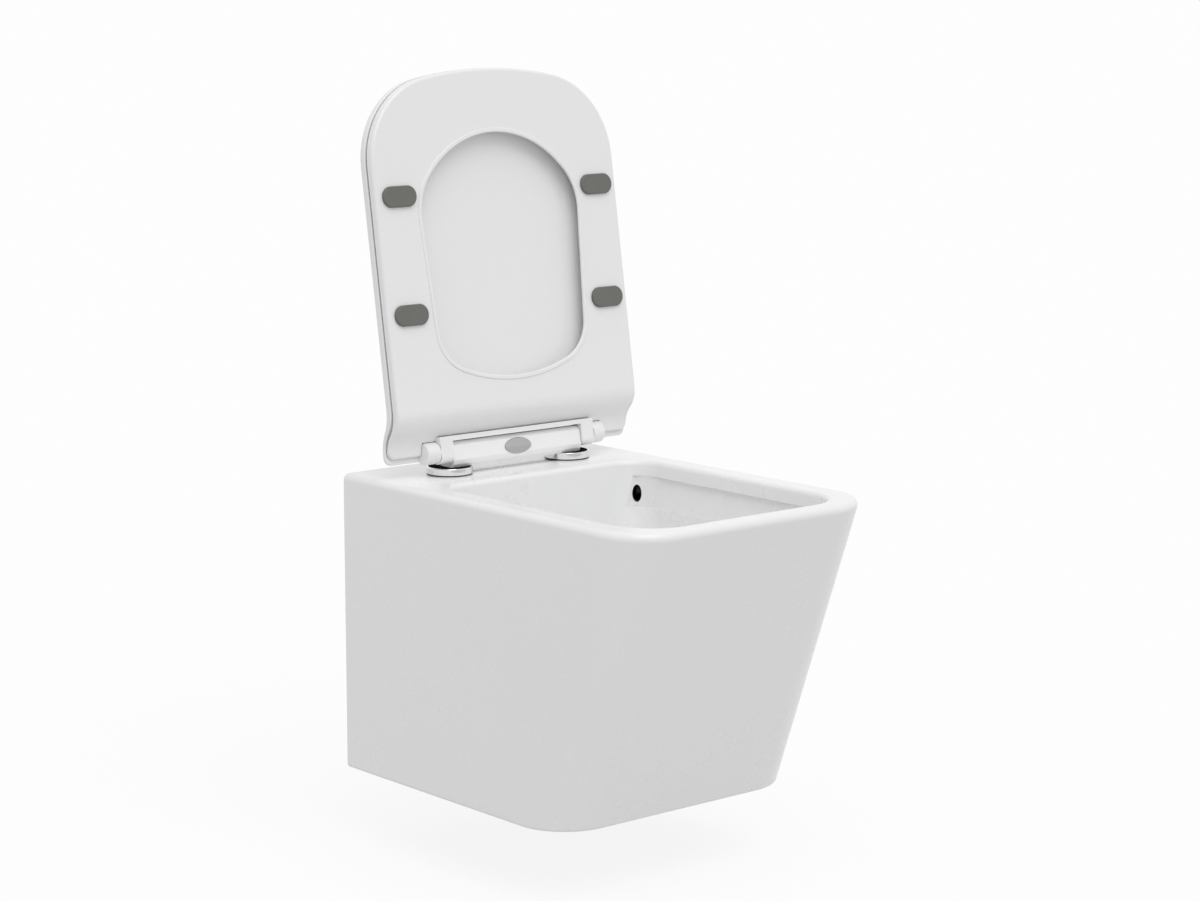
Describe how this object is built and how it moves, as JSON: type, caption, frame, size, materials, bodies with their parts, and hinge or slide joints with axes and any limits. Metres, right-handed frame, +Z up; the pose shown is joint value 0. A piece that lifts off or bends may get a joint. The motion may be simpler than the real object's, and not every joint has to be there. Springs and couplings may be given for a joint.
{
  "type": "wall hung toilet",
  "caption": "Wall hung china toilet with a straight sloping front, a flat seat and lid that are raised, round chrome hinge covers and a release button in the hinge bar.",
  "frame": {"origin": "midway between the two wall bolt holes, on the wall face of the china", "axes": "+X to the right seen from the front, +Y into the wall, +Z up"},
  "size_m": [0.36, 0.5095, 0.805],
  "materials": {
    "china": "gloss glaze",
    "seat_plastic": "gloss",
    "hinge_plastic": "satin",
    "bush_plastic": "matte",
    "chrome_cover": "polished",
    "black_plastic": "matte",
    "dark_rubber": "matte",
    "steel": "brushed",
    "button_silver": "silver satin",
    "bumper_rubber": "matte"
  },
  "bodies": {
    "fixed": {"bowl": "china", "wall_bush_left": "bush_plastic", "wall_bush_right": "bush_plastic", "hinge_cover_left": "chrome_cover", "hinge_cover_right": "chrome_cover", "cover_insert_left": "black_plastic", "cover_insert_right": "black_plastic", "cover_gasket_left": "dark_rubber", "cover_gasket_right": "dark_rubber", "hinge_post_left": "steel", "hinge_post_right": "steel", "deck_bush_left": "dark_rubber", "deck_bush_right": "dark_rubber", "post_washer_left": "steel", "post_washer_right": "steel", "post_nut_left": "bush_plastic", "post_nut_right": "bush_plastic", "hinge_bar": "hinge_plastic", "hinge_bar_base": "hinge_plastic", "base_screws": "steel", "button_spring": "steel", "seat_damper": "bush_plastic", "lid_damper": "bush_plastic"},
    "seat": {"seat_ring": "seat_plastic", "bumper_front_left": "bumper_rubber", "bumper_front_right": "bumper_rubber", "bumper_rear_left": "bumper_rubber", "bumper_rear_right": "bumper_rubber", "seat_shaft": "steel"},
    "lid": {"lid": "seat_plastic", "lid_pads": "bush_plastic", "lid_shaft": "steel"},
    "button": {"release_button": "button_silver"},
    "latch_left": {"latch_left": "bush_plastic"},
    "latch_right": {"latch_right": "bush_plastic"}
  },
  "joints": [
    {"name": "seat_hinge", "type": "hinge", "parent": "fixed", "child": "seat", "pos_m": [0, -0.0875, 0.1075], "axis": [1, 0, 0], "range_deg": [0, 98.95]},
    {"name": "lid_hinge", "type": "hinge", "parent": "seat", "child": "lid", "pos_m": [0, -0.0875, 0.1075], "axis": [1, 0, 0], "range_deg": [-98.95, 0]},
    {"name": "button_slide", "type": "slide", "parent": "fixed", "child": "button", "axis": [0, 1, 0], "range_m": [0, 0.003], "stiffness_N_per_m": 400, "springref_m": -0.003},
    {"name": "latch_left_slide", "type": "slide", "parent": "fixed", "child": "latch_left", "axis": [-1, 0, 0], "range_m": [0, 0.003]},
    {"name": "latch_right_slide", "type": "slide", "parent": "fixed", "child": "latch_right", "axis": [1, 0, 0], "range_m": [0, 0.003]}
  ],
  "couplings": [
    {"joint": "latch_left_slide", "follows": "button_slide", "ratio": 1},
    {"joint": "latch_right_slide", "follows": "button_slide", "ratio": 1}
  ]
}
